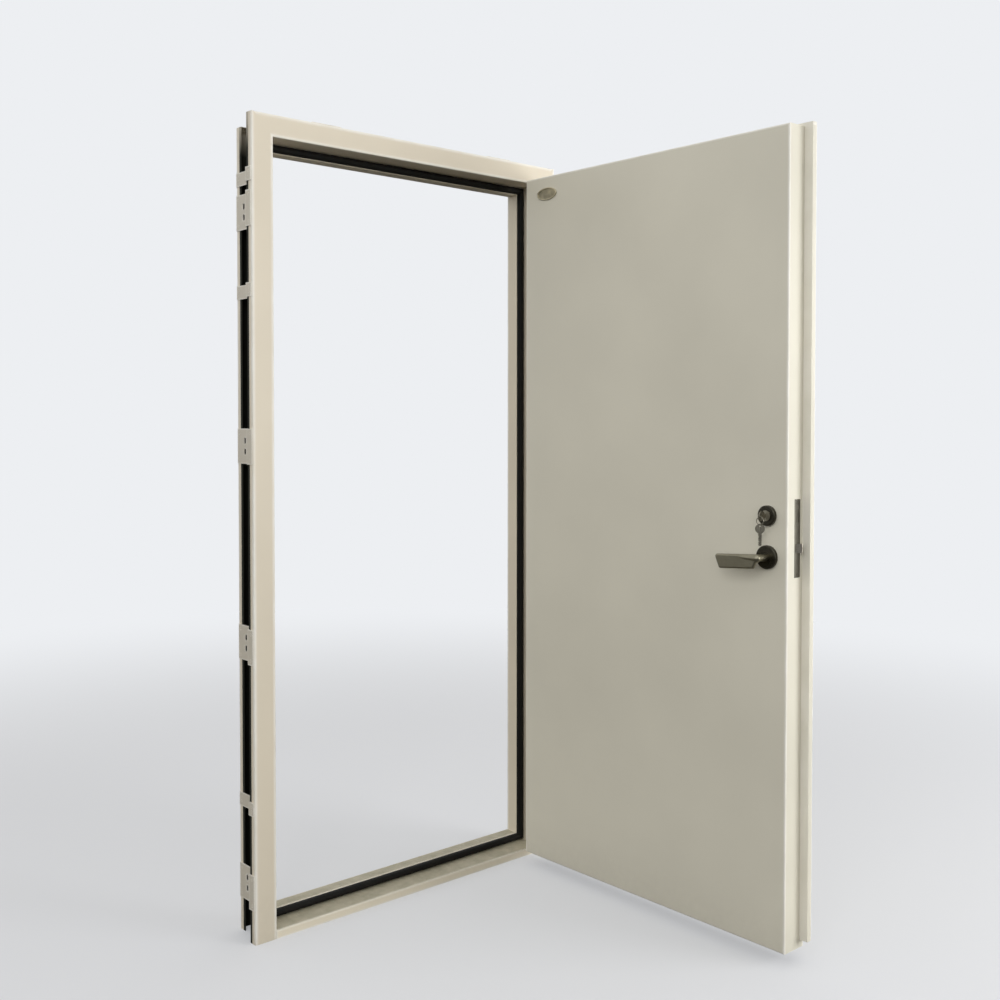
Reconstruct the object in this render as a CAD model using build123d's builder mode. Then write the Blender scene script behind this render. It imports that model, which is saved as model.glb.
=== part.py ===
from build123d import *
import os

# Single-leaf soundproof steel door set, millimetres, +Z up. The frame's front looks along -Y, X = 0 is the
# middle of the doorway, Y = 0 the middle of the frame's depth and Z = 0 the floor under the sill.
# The leaf hangs on the right jamb and stands open at a right angle, its back face looking along -X.

# Frame section, in pressed sheet that is open towards the wall
frame_width = 1050
frame_height = 2094
frame_depth = 120
face_width = 62
head_trim = 6
rebate_depth = 78
stop_height = 22
set_in = 25
return_depth = 25
frame_sheet = 2
bend_radius = 3
sill_height = 22
sill_return = 15

# Rubber bulb seal on the face of the stop
seal_width = 18
seal_base = 8
seal_edge = 2
seal_hollow_radius = 4.5

# Bridging straps and slotted anchor plates across the open side of the frame
plate_sheet = 2
plate_height = 90
plate_foot = 131
plate_drop = 238
plate_low_step = 623
plate_high_step = 596
strap_height = 35
strap_foot = 344
strap_drop = 441
top_strap_drop = 153
head_plate_inset = 225
slot_radius = 4.5
crank_lead = 2
crank_run = 25
slot_length = 16
slot_pitch = 28
slot_inset = 40
sill_plate_length = 160

# Leaf: a steel back pan and an overlapping front pan over a mineral wool core
body_thickness = 62
lip_thickness = 18
lip_side = 23
lip_top = 9
lip_foot = 20
leaf_sheet = 1.5
hinge_gap = 5
lock_gap = 8
head_gap = 5
sill_gap = 12
lip_gap = 5
seal_gap = 5

# Lift-off barrel hinges
hinge_foot = 250
hinge_drop = 264
knuckle_radius = 10
knuckle_height = 60
knuckle_gap = 0.5
knuckle_cap = 8
knuckle_edge = 1
pin_radius = 6
pin_length = 48
pin_clearance = 0.05
wing_thickness = 5
wing_width = 40
hinge_offset = 11

# Lock, its faceplate in the leaf's edge and its strike in the left jamb
lever_level = 994
cylinder_rise = 101
latch_rise = 23
backset = 55
faceplate_width = 24
faceplate_height = 190
faceplate_thickness = 3
faceplate_set = 30
faceplate_sink = 4
fit_gap = 0.3
latch_thickness = 11
latch_height = 22
latch_throw = 12
latch_tail = 30
latch_nose = 2.5
bolt_thickness = 11
bolt_height = 34
bolt_throw = 20
bolt_guide = 16
bolt_sink = 0.5
strike_clearance = 2
lock_pocket_margin = 15

# Lever handles, roses, cylinder and keys
rose_thickness = 9
rose_edge = 2.5
lever_rose_radius = 29
cylinder_rose_radius = 25
neck_radius = 9
neck_length = 40
neck_clearance = 0.05
spindle_side = 8
blade_thickness = 11
blade_length = 124
blade_rise = 10
blade_fall = 8
blade_drop = 26
blade_sag = 7
blade_slant = 15
blade_heel = 8
blade_edge = 4.5
blade_corner = 6
shank_radius = 8.5
shank_length = 70
shank_end_radius = 4.5
cylinder_radius = 13
cylinder_stand = 2
plug_radius = 8
plug_length = 40
plug_end_gap = 0.5
key_thickness = 2.4
key_fit = 0.1
key_bow_radius = 12
key_blade_height = 8
key_blade_length = 28
key_shoulder = 4
key_lap = 2
key_hole_radius = 2.8
key_hole_edge = 5
key_cut_depths = (1.4, 2.2, 1.0, 1.8)
key_cut_pitch = 5.5
key_tip = 2.5
ring_radius = 10
ring_wire = 1
ring_rest = 0.1
spare_turn = 35
spare_slack = 0.4

# Places worked out from the sizes above
half_width = frame_width / 2
frame_front = -frame_depth / 2
frame_back = frame_depth / 2
corner_z = frame_height + head_trim
inner_x = half_width - face_width
stop_reach = face_width + stop_height
seal_depth = rebate_depth - (body_thickness - lip_gap) - seal_gap
top_plate_z = frame_height - plate_drop
plate_levels = (plate_foot, plate_foot + plate_low_step, top_plate_z - plate_high_step, top_plate_z)
strap_levels = (strap_foot, frame_height - strap_drop, frame_height - top_strap_drop)
head_plate_x = half_width - head_plate_inset

top_hinge_z = frame_height - hinge_drop
hinge_levels = (hinge_foot, (hinge_foot + top_hinge_z) / 2, top_hinge_z)
hinge_x = inner_x
wing_stand = lip_gap + lip_thickness + hinge_offset
hinge_y = frame_front - wing_stand
front_x = hinge_x - hinge_offset
lip_x = front_x - lip_thickness
back_x = lip_x - body_thickness
hinge_edge_y = hinge_y - hinge_gap
lock_edge_y = hinge_y - (2 * inner_x - lock_gap)
lip_edge_y = lock_edge_y - lip_side
leaf_bottom = sill_height + sill_gap
leaf_top = corner_z - face_width - head_gap
lip_crest = leaf_top + lip_top

lock_y = lock_edge_y + backset
cylinder_level = lever_level + cylinder_rise
latch_level = lever_level + latch_rise
faceplate_level = lever_level + cylinder_rise / 2 - faceplate_sink
faceplate_x = back_x + faceplate_set + faceplate_width / 2
strike_y = frame_front + (lip_x - faceplate_x) - lip_gap
cylinder_face_x = back_x - rose_thickness - cylinder_stand
cylinder_end_x = front_x + rose_thickness + cylinder_stand
key_bow_x = cylinder_face_x - key_shoulder - key_bow_radius + key_lap
key_hole_x = key_bow_x - key_bow_radius + key_hole_edge
ring_top_z = cylinder_level - key_hole_radius + ring_wire + ring_rest
ring_z = ring_top_z - ring_radius
spare_hole_z = ring_z - ring_radius - (key_hole_radius - ring_wire - ring_rest - spare_slack)


def save(piece, name):
    """Label a finished piece and write it as its own file."""
    piece.part.label = name
    export_step(piece.part, f"parts/{name}.step")


def block(low, high, mode=Mode.ADD):
    """A box between two opposite corners."""
    middle = tuple((a + b) / 2 for a, b in zip(low, high))
    with Locations(middle):
        Box(*[b - a for a, b in zip(low, high)], mode=mode)


def bar_x(radius, start, end, y, z, mode=Mode.ADD):
    """A round bar or bore along X."""
    with Locations(Location(((start + end) / 2, y, z), (0, 90, 0))):
        Cylinder(radius, end - start, mode=mode)


def points_at(sketch, places):
    """The corners of a sketch that lie at the given places."""
    return [v for v in sketch.vertices() if any(abs(v.X - x) + abs(v.Y - y) < 0.01 for x, y in places)]


os.makedirs("parts", exist_ok=True)


def frame_section(trim):
    """Frame section: local x from the jamb's outer edge towards the doorway, local y from the front face to
    the back. The trim takes a strip off the outer edge of the front face."""
    with BuildSketch() as profile:
        with BuildLine():
            Polyline(
                (trim, return_depth),
                (trim, 0),
                (face_width, 0),
                (face_width, rebate_depth),
                (stop_reach, rebate_depth),
                (stop_reach, frame_depth),
                (set_in, frame_depth),
                (set_in, frame_depth - return_depth),
            )
            offset(amount=frame_sheet, side=Side.LEFT, kind=Kind.INTERSECTION)
        make_face()
        outer_bends = [
            (trim, 0),
            (face_width, 0),
            (stop_reach, rebate_depth),
            (stop_reach, frame_depth),
            (set_in, frame_depth),
        ]
        fillet(points_at(profile, outer_bends), radius=bend_radius)
    return profile.sketch


jamb_profile = frame_section(0)
head_profile = frame_section(head_trim)

# Sill section: local x from front to back, local y up
with BuildSketch() as sill_profile:
    with BuildLine():
        Polyline(
            (sill_return, 0),
            (0, 0),
            (0, sill_height),
            (rebate_depth, sill_height),
            (rebate_depth, sill_height + stop_height),
            (frame_depth, sill_height + stop_height),
            (frame_depth, 0),
            (frame_depth - sill_return, 0),
        )
        offset(amount=frame_sheet, side=Side.RIGHT, kind=Kind.INTERSECTION)
    make_face()
    sill_bends = [
        (0, sill_height),
        (rebate_depth, sill_height + stop_height),
        (frame_depth, sill_height + stop_height),
    ]
    fillet(points_at(sill_profile, sill_bends), radius=bend_radius)

# Seal section, in the frame section's axes: a flat foot on the stop and a hollow round bulb
seal_middle = stop_reach - seal_edge - seal_width / 2
with BuildSketch() as seal_profile:
    with BuildLine():
        foot = Polyline(
            (seal_middle - seal_width / 2, rebate_depth - seal_base),
            (seal_middle - seal_width / 2, rebate_depth),
            (seal_middle + seal_width / 2, rebate_depth),
            (seal_middle + seal_width / 2, rebate_depth - seal_base),
        )
        ThreePointArc(foot @ 1, (seal_middle, rebate_depth - seal_depth), foot @ 0)
    make_face()
    with Locations((seal_middle, rebate_depth - seal_base)):
        Circle(seal_hollow_radius, mode=Mode.SUBTRACT)

left_run = Plane(origin=(-half_width, frame_front, 0), x_dir=(1, 0, 0), z_dir=(0, 0, 1))
right_run = Plane(origin=(half_width, frame_front, corner_z), x_dir=(-1, 0, 0), z_dir=(0, 0, -1))
head_run = Plane(origin=(-half_width, frame_front, corner_z), x_dir=(0, 0, -1), z_dir=(1, 0, 0))
sill_run = Plane(origin=(-inner_x, frame_front, 0), x_dir=(0, 1, 0), z_dir=(1, 0, 0))
sill_seal_run = Plane(
    origin=(half_width, frame_front, sill_height - face_width), x_dir=(0, 0, 1), z_dir=(-1, 0, 0)
)
left_mitre = Plane(origin=(-half_width, 0, corner_z), z_dir=(1, 0, 1))
right_mitre = Plane(origin=(half_width, 0, corner_z), z_dir=(-1, 0, 1))
frame_top = Plane.XY.offset(frame_height)
left_foot_mitre = Plane(origin=(-inner_x, 0, sill_height), z_dir=(1, 0, -1))
right_foot_mitre = Plane(origin=(inner_x, 0, sill_height), z_dir=(-1, 0, -1))

# Left jamb, with the recess that the strike plate sits in
with BuildPart() as left_jamb:
    with BuildSketch(left_run):
        add(jamb_profile)
    extrude(amount=corner_z)
    split(bisect_by=left_mitre, keep=Keep.BOTTOM)
    split(bisect_by=frame_top, keep=Keep.BOTTOM)
    block(
        (
            -inner_x - 2 * frame_sheet,
            strike_y - faceplate_width / 2 - fit_gap,
            faceplate_level - faceplate_height / 2 - fit_gap,
        ),
        (
            -inner_x + frame_sheet,
            strike_y + faceplate_width / 2 + fit_gap,
            faceplate_level + faceplate_height / 2 + fit_gap,
        ),
        mode=Mode.SUBTRACT,
    )
save(left_jamb, "left_jamb")

with BuildPart() as right_jamb:
    with BuildSketch(right_run):
        add(jamb_profile)
    extrude(amount=corner_z)
    split(bisect_by=right_mitre, keep=Keep.BOTTOM)
    split(bisect_by=frame_top, keep=Keep.BOTTOM)
save(right_jamb, "right_jamb")

with BuildPart() as head:
    with BuildSketch(head_run):
        add(head_profile)
    extrude(amount=frame_width)
    split(bisect_by=left_mitre, keep=Keep.TOP)
    split(bisect_by=right_mitre, keep=Keep.TOP)
save(head, "head")

# Sill between the jambs, notched behind the rebate to fit their stops
with BuildPart() as sill:
    with BuildSketch(sill_run):
        add(sill_profile.sketch)
    extrude(amount=2 * inner_x)
    for side in (-1, 1):
        notch_x = sorted((side * (inner_x - stop_height), side * (inner_x + frame_sheet)))
        block(
            (notch_x[0], frame_front + rebate_depth, -frame_sheet),
            (notch_x[1], frame_back + frame_sheet, sill_height + 2 * stop_height),
            mode=Mode.SUBTRACT,
        )
save(sill, "sill")

with BuildPart() as left_seal:
    with BuildSketch(left_run):
        add(seal_profile.sketch)
    extrude(amount=corner_z)
    split(bisect_by=left_mitre, keep=Keep.BOTTOM)
    split(bisect_by=left_foot_mitre, keep=Keep.BOTTOM)
save(left_seal, "left_seal")

with BuildPart() as right_seal:
    with BuildSketch(right_run):
        add(seal_profile.sketch)
    extrude(amount=corner_z)
    split(bisect_by=right_mitre, keep=Keep.BOTTOM)
    split(bisect_by=right_foot_mitre, keep=Keep.BOTTOM)
save(right_seal, "right_seal")

with BuildPart() as head_seal:
    with BuildSketch(head_run):
        add(seal_profile.sketch)
    extrude(amount=frame_width)
    split(bisect_by=left_mitre, keep=Keep.TOP)
    split(bisect_by=right_mitre, keep=Keep.TOP)
save(head_seal, "head_seal")

with BuildPart() as sill_seal:
    with BuildSketch(sill_seal_run):
        add(seal_profile.sketch)
    extrude(amount=frame_width)
    split(bisect_by=left_foot_mitre, keep=Keep.TOP)
    split(bisect_by=right_foot_mitre, keep=Keep.TOP)
save(sill_seal, "sill_seal")

# Straps and anchor plates lie on the rear return and are cranked out to lap over the front return
crank_front_y = frame_front + return_depth + crank_lead
crank_back_y = crank_front_y + crank_run
slot_y = frame_back - slot_inset


def plate_section(crank):
    """Section of a plate that is cranked outward by the given height: local x from front to back, local y
    outward from the rear return."""
    with BuildSketch() as profile:
        with BuildLine():
            Polyline(
                (frame_front + bend_radius, crank),
                (crank_front_y, crank),
                (crank_back_y, 0),
                (frame_back - bend_radius, 0),
            )
            offset(amount=plate_sheet, side=Side.LEFT, kind=Kind.INTERSECTION)
        make_face()
    return profile.sketch


plate_profile = plate_section(set_in)
head_plate_profile = plate_section(set_in - head_trim)
plate_run = Plane(origin=(-half_width + set_in, 0, 0), x_dir=(0, 1, 0), z_dir=(0, 0, 1))
head_plate_run = Plane(origin=(0, 0, corner_z - set_in), x_dir=(0, 1, 0), z_dir=(1, 0, 0))

with BuildPart() as left_anchor_plates:
    for level in plate_levels:
        with BuildSketch(plate_run.offset(level - plate_height / 2)):
            add(plate_profile)
        extrude(amount=plate_height)
    with BuildSketch(Plane(origin=(-half_width + set_in, 0, 0), x_dir=(0, 1, 0), z_dir=(1, 0, 0))):
        for level in plate_levels:
            with Locations((slot_y, level - slot_pitch / 2), (slot_y, level + slot_pitch / 2)):
                SlotOverall(slot_length, 2 * slot_radius, rotation=90)
    extrude(amount=-plate_sheet, mode=Mode.SUBTRACT)
save(left_anchor_plates, "left_anchor_plates")

with BuildPart() as right_anchor_plates:
    mirror(left_anchor_plates.part, about=Plane.YZ)
save(right_anchor_plates, "right_anchor_plates")

with BuildPart() as left_straps:
    for level in strap_levels:
        with BuildSketch(plate_run.offset(level - strap_height / 2)):
            add(plate_profile)
        extrude(amount=strap_height)
save(left_straps, "left_straps")

with BuildPart() as right_straps:
    mirror(left_straps.part, about=Plane.YZ)
save(right_straps, "right_straps")

with BuildPart() as head_anchor_plates:
    for x in (-head_plate_x, head_plate_x):
        with BuildSketch(head_plate_run.offset(x - plate_height / 2)):
            add(head_plate_profile)
        extrude(amount=plate_height)
        with BuildSketch(Plane.XY.offset(corner_z - set_in)):
            with Locations((x - slot_pitch / 2, slot_y), (x + slot_pitch / 2, slot_y)):
                SlotOverall(slot_length, 2 * slot_radius)
        extrude(amount=plate_sheet, mode=Mode.SUBTRACT)
save(head_anchor_plates, "head_anchor_plates")

# Floor plate let in between the two returns under the sill
with BuildPart() as sill_anchor_plate:
    with BuildSketch():
        Rectangle(sill_plate_length, frame_depth - 2 * sill_return)
    extrude(amount=plate_sheet)
save(sill_anchor_plate, "sill_anchor_plate")

# Strike plate, flush in the left jamb's reveal, with a window for the latch and one for the bolt
latch_window = (latch_thickness + 2 * strike_clearance, latch_height + 2 * strike_clearance)
bolt_window = (bolt_thickness + 2 * strike_clearance, bolt_height + 2 * strike_clearance)
with BuildPart() as strike_plate:
    with BuildSketch(Plane(origin=(-inner_x - frame_sheet, 0, 0), x_dir=(0, 1, 0), z_dir=(1, 0, 0))):
        with Locations((strike_y, faceplate_level)):
            Rectangle(faceplate_width, faceplate_height)
        with Locations((strike_y, latch_level)):
            Rectangle(*latch_window, mode=Mode.SUBTRACT)
        with Locations((strike_y, cylinder_level)):
            Rectangle(*bolt_window, mode=Mode.SUBTRACT)
    extrude(amount=frame_sheet)
save(strike_plate, "strike_plate")

# Hinge halves: the frame's carries the pin on a cranked wing, the leaf's drops over it
for place, level in zip(("bottom", "middle", "top"), hinge_levels):
    with BuildPart() as frame_hinge:
        with BuildSketch(Plane(origin=(hinge_x, hinge_y, level - knuckle_height))):
            Circle(knuckle_radius)
            with Locations((knuckle_radius - wing_thickness / 2, wing_stand / 2)):
                Rectangle(wing_thickness, wing_stand)
            with Locations((knuckle_radius - wing_thickness, wing_stand)):
                Rectangle(wing_width, wing_thickness, align=(Align.MIN, Align.MAX))
        extrude(amount=knuckle_height)
        chamfer(frame_hinge.faces().sort_by(Axis.Z)[0].edges(), length=knuckle_edge)
        with BuildSketch(Plane(origin=(hinge_x, hinge_y, level))):
            Circle(pin_radius)
        extrude(amount=pin_length)
    save(frame_hinge, f"frame_hinge_{place}")

    with BuildPart() as leaf_hinge:
        with BuildSketch(Plane(origin=(hinge_x, hinge_y, level + knuckle_gap))):
            Circle(knuckle_radius)
            with Locations((-hinge_offset, 0)):
                Rectangle(wing_thickness, wing_width, align=(Align.MIN, Align.MAX))
        extrude(amount=knuckle_height)
        chamfer(leaf_hinge.faces().sort_by(Axis.Z)[-1].edges(), length=knuckle_edge)
        with BuildSketch(Plane(origin=(hinge_x, hinge_y, level + knuckle_gap))):
            Circle(pin_radius + pin_clearance)
        extrude(amount=knuckle_height - knuckle_cap, mode=Mode.SUBTRACT)
    save(leaf_hinge, f"leaf_hinge_{place}")

# Holes through both pans for the lever's neck and the lock cylinder
lock_bores = ((neck_radius + fit_gap, lever_level), (cylinder_radius + fit_gap, cylinder_level))

# Back pan of the leaf: the tray that shows, with its four edges turned forward
with BuildPart() as leaf_back_pan:
    block((back_x, lock_edge_y, leaf_bottom), (lip_x, hinge_edge_y, leaf_top))
    fillet(leaf_back_pan.faces().sort_by(Axis.X)[0].edges(), radius=bend_radius)
    block(
        (back_x + leaf_sheet, lock_edge_y + leaf_sheet, leaf_bottom + leaf_sheet),
        (lip_x, hinge_edge_y - leaf_sheet, leaf_top - leaf_sheet),
        mode=Mode.SUBTRACT,
    )
    block(
        (
            faceplate_x - faceplate_width / 2 - fit_gap,
            lock_edge_y - leaf_sheet,
            faceplate_level - faceplate_height / 2 - fit_gap,
        ),
        (
            faceplate_x + faceplate_width / 2 + fit_gap,
            lock_edge_y + 2 * leaf_sheet,
            faceplate_level + faceplate_height / 2 + fit_gap,
        ),
        mode=Mode.SUBTRACT,
    )
    for radius, level in lock_bores:
        bar_x(radius, back_x - leaf_sheet, back_x + 2 * leaf_sheet, lock_y, level, Mode.SUBTRACT)
save(leaf_back_pan, "leaf_back_pan")

# Front pan: a shallow tray whose folded lip laps over the frame at the lock side and the head. The lip ends
# short of the leaf's foot
with BuildSketch() as pan_outline:
    with BuildLine():
        Polyline(
            (hinge_edge_y, leaf_bottom),
            (hinge_edge_y, lip_crest),
            (lip_edge_y, lip_crest),
            (lip_edge_y, leaf_bottom + lip_foot),
            (lock_edge_y, leaf_bottom + lip_foot),
            (lock_edge_y, leaf_bottom),
            close=True,
        )
    make_face()

with BuildPart() as leaf_front_pan:
    with BuildSketch(Plane(origin=(lip_x, 0, 0), x_dir=(0, 1, 0), z_dir=(1, 0, 0))):
        add(pan_outline.sketch)
    extrude(amount=lip_thickness)
    fillet(leaf_front_pan.faces().sort_by(Axis.X)[-1].edges(), radius=bend_radius)
    with BuildSketch(Plane(origin=(lip_x + leaf_sheet, 0, 0), x_dir=(0, 1, 0), z_dir=(1, 0, 0))):
        add(pan_outline.sketch)
        offset(amount=-leaf_sheet, kind=Kind.INTERSECTION, mode=Mode.REPLACE)
    extrude(amount=lip_thickness - 2 * leaf_sheet, mode=Mode.SUBTRACT)
    block(
        (lip_x - leaf_sheet, lock_edge_y + leaf_sheet, leaf_bottom + leaf_sheet),
        (lip_x + 2 * leaf_sheet, hinge_edge_y - leaf_sheet, leaf_top - leaf_sheet),
        mode=Mode.SUBTRACT,
    )
    for radius, level in lock_bores:
        bar_x(radius, front_x - 2 * leaf_sheet, front_x + leaf_sheet, lock_y, level, Mode.SUBTRACT)
save(leaf_front_pan, "leaf_front_pan")

# Mineral wool core between the pans, cut away round the lock
with BuildPart() as leaf_core:
    block(
        (back_x + leaf_sheet, lock_edge_y + leaf_sheet, leaf_bottom + leaf_sheet),
        (front_x - leaf_sheet, hinge_edge_y - leaf_sheet, leaf_top - leaf_sheet),
    )
    block(
        (back_x, lock_edge_y, faceplate_level - faceplate_height / 2 - lock_pocket_margin),
        (
            front_x,
            lock_y + cylinder_radius + lock_pocket_margin,
            faceplate_level + faceplate_height / 2 + lock_pocket_margin,
        ),
        mode=Mode.SUBTRACT,
    )
save(leaf_core, "leaf_core")

# Lock faceplate, flush in the leaf's edge
with BuildPart() as lock_faceplate:
    with BuildSketch(Plane(origin=(0, lock_edge_y, 0), x_dir=(-1, 0, 0), z_dir=(0, 1, 0))):
        with Locations((-faceplate_x, faceplate_level)):
            RectangleRounded(faceplate_width, faceplate_height, bend_radius)
        with Locations((-faceplate_x, latch_level)):
            Rectangle(latch_thickness + 2 * fit_gap, latch_height + 2 * fit_gap, mode=Mode.SUBTRACT)
        with Locations((-faceplate_x, cylinder_level)):
            Rectangle(bolt_thickness + 2 * fit_gap, bolt_height + 2 * fit_gap, mode=Mode.SUBTRACT)
    extrude(amount=faceplate_thickness)
save(lock_faceplate, "lock_faceplate")

# Latch bolt, its nose slanted on the side that meets the strike as the door shuts
with BuildPart() as latch_bolt:
    with BuildSketch(Plane.XY.offset(latch_level - latch_height / 2)):
        with BuildLine():
            Polyline(
                (faceplate_x - latch_thickness / 2, lock_edge_y + latch_tail),
                (faceplate_x - latch_thickness / 2, lock_edge_y - bolt_sink),
                (faceplate_x + latch_thickness / 2 - latch_nose, lock_edge_y - latch_throw),
                (faceplate_x + latch_thickness / 2, lock_edge_y - latch_throw),
                (faceplate_x + latch_thickness / 2, lock_edge_y + latch_tail),
                close=True,
            )
        make_face()
    extrude(amount=latch_height)
save(latch_bolt, "latch_bolt")

# Dead bolt, drawn back just inside the faceplate
bolt_tail_y = lock_edge_y + bolt_throw + bolt_guide
with BuildPart() as dead_bolt:
    block(
        (faceplate_x - bolt_thickness / 2, lock_edge_y + bolt_sink, cylinder_level - bolt_height / 2),
        (faceplate_x + bolt_thickness / 2, bolt_tail_y, cylinder_level + bolt_height / 2),
    )
save(dead_bolt, "dead_bolt")

# Roses on both faces of the leaf
rose_sizes = {
    "lever_rose": (lever_rose_radius, neck_radius + neck_clearance, lever_level),
    "cylinder_rose": (cylinder_rose_radius, cylinder_radius + fit_gap, cylinder_level),
}
for side, start, outward in (("inside", back_x, -1), ("outside", front_x, 1)):
    for rose_name, (radius, bore, level) in rose_sizes.items():
        with BuildPart() as rose:
            with BuildSketch(Plane(origin=(start, lock_y, level), x_dir=(0, 1, 0), z_dir=(outward, 0, 0))):
                Circle(radius)
            extrude(amount=rose_thickness)
            outer_face = rose.faces().filter_by(Axis.X).sort_by(Axis.X)[0 if outward < 0 else -1]
            fillet(outer_face.edges(), radius=rose_edge)
            with BuildSketch(Plane(origin=(start, lock_y, level), x_dir=(0, 1, 0), z_dir=(outward, 0, 0))):
                Circle(bore)
            extrude(amount=rose_thickness, mode=Mode.SUBTRACT)
        save(rose, f"{side}_{rose_name}")

# Lever handles: a round neck through the rose, a round shank that runs out into the blade, and a broad,
# slightly drooping blade with a slanted end
blade_tip = (blade_length, blade_rise - blade_fall)
blade_toe = (blade_length - blade_slant, -blade_drop - blade_sag)
for side, start, outward in (("inside", back_x, -1), ("outside", front_x, 1)):
    blade_plane = Plane(
        origin=(start + outward * neck_length, lock_y, lever_level), x_dir=(0, 1, 0), z_dir=(1, 0, 0)
    )
    with BuildPart() as lever:
        with BuildSketch(blade_plane) as blade:
            with BuildLine():
                edge = Polyline(
                    (0, blade_rise), blade_tip, blade_toe, (blade_heel, -blade_drop), (0, -blade_rise)
                )
                ThreePointArc(edge @ 1, (-blade_rise, 0), edge @ 0)
            make_face()
            corners = [blade_tip, blade_toe, (blade_heel, -blade_drop)]
            fillet(points_at(blade, corners), radius=blade_corner)
        extrude(amount=outward * blade_thickness)
        blade_faces = lever.faces().filter_by(Axis.X)
        fillet(blade_faces.edges(), radius=blade_edge)
        with BuildSketch(Plane(origin=(start, lock_y, lever_level), x_dir=(0, 1, 0), z_dir=(outward, 0, 0))):
            Circle(neck_radius)
        extrude(amount=neck_length + blade_edge)
        shank_plane = blade_plane.offset(outward * blade_thickness / 2)
        with BuildSketch(shank_plane):
            with BuildLine():
                elbow = CenterArc((0, 0), shank_radius, 90, 90)
                Polyline(
                    elbow @ 0, (shank_length, shank_end_radius), (shank_length, 0), elbow @ 1
                )
            make_face()
        revolve(axis=Axis(shank_plane.origin, (0, 1, 0)))
    save(lever, f"{side}_lever")

# Square spindle between the two necks
with BuildPart() as lever_spindle:
    block(
        (back_x, lock_y - spindle_side / 2, lever_level - spindle_side / 2),
        (front_x, lock_y + spindle_side / 2, lever_level + spindle_side / 2),
    )
save(lever_spindle, "lever_spindle")

# Lock cylinder through the leaf, bored from the back for the turning plug
with BuildPart() as lock_cylinder:
    bar_x(cylinder_radius, cylinder_face_x, cylinder_end_x, lock_y, cylinder_level)
    bar_x(
        plug_radius + pin_clearance,
        cylinder_face_x,
        cylinder_face_x + plug_length + plug_end_gap,
        lock_y,
        cylinder_level,
        Mode.SUBTRACT,
    )
save(lock_cylinder, "lock_cylinder")

with BuildPart() as cylinder_plug:
    bar_x(plug_radius, cylinder_face_x, cylinder_face_x + plug_length, lock_y, cylinder_level)
    block(
        (
            cylinder_face_x,
            lock_y - key_thickness / 2 - key_fit,
            cylinder_level - key_blade_height / 2 - key_fit,
        ),
        (
            cylinder_face_x + key_blade_length + key_fit,
            lock_y + key_thickness / 2 + key_fit,
            cylinder_level + key_blade_height / 2 + key_fit,
        ),
        mode=Mode.SUBTRACT,
    )
save(cylinder_plug, "cylinder_plug")

# One key outline: local x from the bow's middle along the blade, the hole on the far side of the bow, and
# the cuts in the blade's upper edge
key_reach = cylinder_face_x - key_bow_x + key_blade_length
with BuildSketch() as key_profile:
    Rectangle(key_reach, key_blade_height, align=(Align.MIN, Align.CENTER))
    tip_corners = [(key_reach, -key_blade_height / 2), (key_reach, key_blade_height / 2)]
    chamfer(points_at(key_profile, tip_corners), length=key_tip)
    for number, depth in enumerate(key_cut_depths):
        with Locations((key_reach - (number + 1) * key_cut_pitch, key_blade_height / 2)):
            Rectangle(depth * 2**0.5, depth * 2**0.5, rotation=45, mode=Mode.SUBTRACT)
    Circle(key_bow_radius)
    with Locations((key_hole_x - key_bow_x, 0)):
        Circle(key_hole_radius, mode=Mode.SUBTRACT)

with BuildPart() as key:
    with BuildSketch(Plane(origin=(key_bow_x, lock_y, cylinder_level), x_dir=(1, 0, 0), z_dir=(0, -1, 0))):
        add(key_profile.sketch)
    extrude(amount=key_thickness / 2, both=True)
save(key, "key")

with BuildPart() as key_ring:
    with BuildSketch(Plane(origin=(key_hole_x, lock_y, ring_z), x_dir=(0, 1, 0), z_dir=(0, 0, 1))):
        with Locations((ring_radius, 0)):
            Circle(ring_wire)
    revolve(axis=Axis((key_hole_x, lock_y, ring_z), (1, 0, 0)))
save(key_ring, "key_ring")

# The second key hangs turned towards the room on the ring
spare_bow_z = spare_hole_z - (key_bow_x - key_hole_x)
spare_way = Vector(0, 1, 0).rotate(Axis.Z, -spare_turn)
with BuildPart() as spare_key:
    with BuildSketch(Plane(origin=(key_hole_x, lock_y, spare_bow_z), x_dir=(0, 0, -1), z_dir=spare_way)):
        add(key_profile.sketch)
    extrude(amount=key_thickness / 2, both=True)
save(spare_key, "spare_key")
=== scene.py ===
"""Soundproof steel door set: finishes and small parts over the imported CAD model, as a Blender add-on."""
import math

import bpy
from mathutils import Euler, Matrix, Vector


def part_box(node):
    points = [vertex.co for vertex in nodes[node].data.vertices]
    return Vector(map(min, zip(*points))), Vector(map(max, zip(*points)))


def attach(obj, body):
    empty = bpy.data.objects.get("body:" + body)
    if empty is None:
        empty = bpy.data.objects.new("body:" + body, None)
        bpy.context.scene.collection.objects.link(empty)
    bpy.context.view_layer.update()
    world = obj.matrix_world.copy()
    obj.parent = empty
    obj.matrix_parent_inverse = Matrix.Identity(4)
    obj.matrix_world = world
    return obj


bl_info = {
    "name": "Soundproof Door",
    "version": (1, 0, 0),
    "blender": (4, 5, 0),
    "location": "View3D > Sidebar > Door",
    "description": "Finishes and small parts of a soundproof steel door set",
    "category": "Object",
}

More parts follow.
